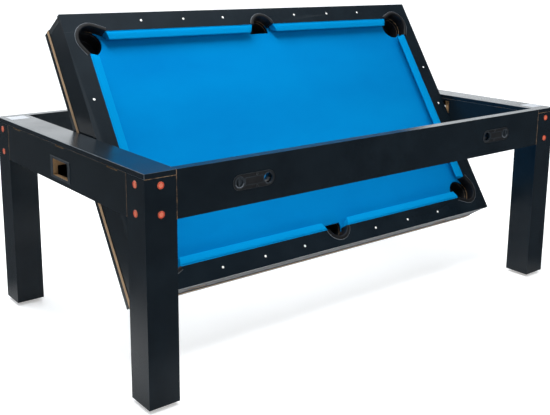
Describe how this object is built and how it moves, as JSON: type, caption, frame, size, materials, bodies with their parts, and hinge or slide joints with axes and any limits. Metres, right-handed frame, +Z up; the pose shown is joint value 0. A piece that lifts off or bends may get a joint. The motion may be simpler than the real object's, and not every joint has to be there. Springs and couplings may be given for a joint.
{
  "type": "rotating games table",
  "caption": "Two-sided rotating games table: a pool playing box with six pockets turns on end pivots inside a four-legged frame with side latches.",
  "frame": {"origin": "on the floor, under the middle of the frame", "axes": "+X along the table, +Y across it towards the far side, +Z up"},
  "size_m": [2.138, 1.224, 1.2349],
  "materials": {
    "black_laminate": "black melamine laminate on board",
    "raw_board": "raw fibreboard",
    "hockey_laminate": "white gloss laminate, raw edge",
    "blue_cloth": "napped blue table cloth",
    "covered_rubber": "rubber cushion under blue cloth",
    "black_plastic": "moulded, fine texture",
    "red_plastic": "moulded orange-red",
    "white_plastic": "polished inlay",
    "steel": "zinc plated",
    "bronze": "sintered bronze"
  },
  "bodies": {
    "frame": {"bolt_caps": "red_plastic", "end_panel_inner_left": "black_laminate", "end_panel_inner_right": "black_laminate", "end_panel_outer_left": "black_laminate", "end_panel_outer_right": "black_laminate", "end_ribs": "raw_board", "end_top_left": "black_laminate", "end_top_right": "black_laminate", "joint_dowels": "raw_board", "latch_plates": "black_plastic", "latch_screws": "steel", "leg_blocks": "raw_board", "leg_bolts": "steel", "leg_far_left": "black_laminate", "leg_far_right": "black_laminate", "leg_near_left": "black_laminate", "leg_near_right": "black_laminate", "pivot_bushes": "bronze", "pivot_plates": "steel", "side_apron_far": "black_laminate", "side_apron_near": "black_laminate", "window_frames": "black_plastic"},
    "playing_box": {"pool_bed": "raw_board", "pool_cloth": "blue_cloth", "rail_sights": "white_plastic", "pool_rail_near": "black_laminate", "pool_rail_far": "black_laminate", "pool_rail_left": "black_laminate", "pool_rail_right": "black_laminate", "cushion_near_left": "covered_rubber", "cushion_near_right": "covered_rubber", "cushion_far_left": "covered_rubber", "cushion_far_right": "covered_rubber", "cushion_left": "covered_rubber", "cushion_right": "covered_rubber", "pocket_rims": "black_plastic", "pocket_cups": "black_plastic", "box_panel_near": "black_laminate", "box_panel_far": "black_laminate", "box_panel_left": "black_laminate", "box_panel_right": "black_laminate", "box_braces": "raw_board", "pivot_blocks": "raw_board", "pivot_shafts": "steel", "hockey_bed": "hockey_laminate", "hockey_long_rails": "black_laminate", "hockey_end_rails": "black_laminate", "goal_trays": "black_plastic", "blower_housing": "black_plastic", "supply_fittings": "black_plastic"},
    "blower_wheel": {"blower_rotor": "black_plastic"},
    "rocker": {"switch_rocker": "black_plastic"},
    "foot_near_left": {"levelling_foot_near_left": "black_plastic"},
    "latch_near_left": {"latch_bolt_near_left": "black_plastic"},
    "foot_near_right": {"levelling_foot_near_right": "black_plastic"},
    "latch_near_right": {"latch_bolt_near_right": "black_plastic"},
    "foot_far_left": {"levelling_foot_far_left": "black_plastic"},
    "latch_far_left": {"latch_bolt_far_left": "black_plastic"},
    "foot_far_right": {"levelling_foot_far_right": "black_plastic"},
    "latch_far_right": {"latch_bolt_far_right": "black_plastic"}
  },
  "joints": [
    {"name": "box_turn", "type": "hinge", "parent": "frame", "child": "playing_box", "pos_m": [0, 0, 0.719], "axis": [1, 0, 0], "range_deg": [-57, 123]},
    {"name": "latch_slide_near_left", "type": "slide", "parent": "frame", "child": "latch_near_left", "axis": [0, 1, 0], "range_m": [0, 0.0245]},
    {"name": "latch_slide_near_right", "type": "slide", "parent": "frame", "child": "latch_near_right", "axis": [0, 1, 0], "range_m": [0, 0.0245]},
    {"name": "latch_slide_far_left", "type": "slide", "parent": "frame", "child": "latch_far_left", "axis": [0, -1, 0], "range_m": [0, 0.0245]},
    {"name": "latch_slide_far_right", "type": "slide", "parent": "frame", "child": "latch_far_right", "axis": [0, -1, 0], "range_m": [0, 0.0245]},
    {"name": "foot_screw_near_left", "type": "slide", "parent": "frame", "child": "foot_near_left", "axis": [0, 0, -1], "range_m": [0, 0.012]},
    {"name": "foot_screw_near_right", "type": "slide", "parent": "frame", "child": "foot_near_right", "axis": [0, 0, -1], "range_m": [0, 0.012]},
    {"name": "foot_screw_far_left", "type": "slide", "parent": "frame", "child": "foot_far_left", "axis": [0, 0, -1], "range_m": [0, 0.012]},
    {"name": "foot_screw_far_right", "type": "slide", "parent": "frame", "child": "foot_far_right", "axis": [0, 0, -1], "range_m": [0, 0.012]},
    {"name": "blower_spin", "type": "hinge", "parent": "playing_box", "child": "blower_wheel", "pos_m": [0.81, -0.11939, 0.49844], "axis": [0, -0.8387, 0.5446], "continuous": true},
    {"name": "switch_rock", "type": "hinge", "parent": "playing_box", "child": "rocker", "pos_m": [0.903, -0.11599, 0.40085], "axis": [1, 0, 0], "range_deg": [0, 12]}
  ]
}
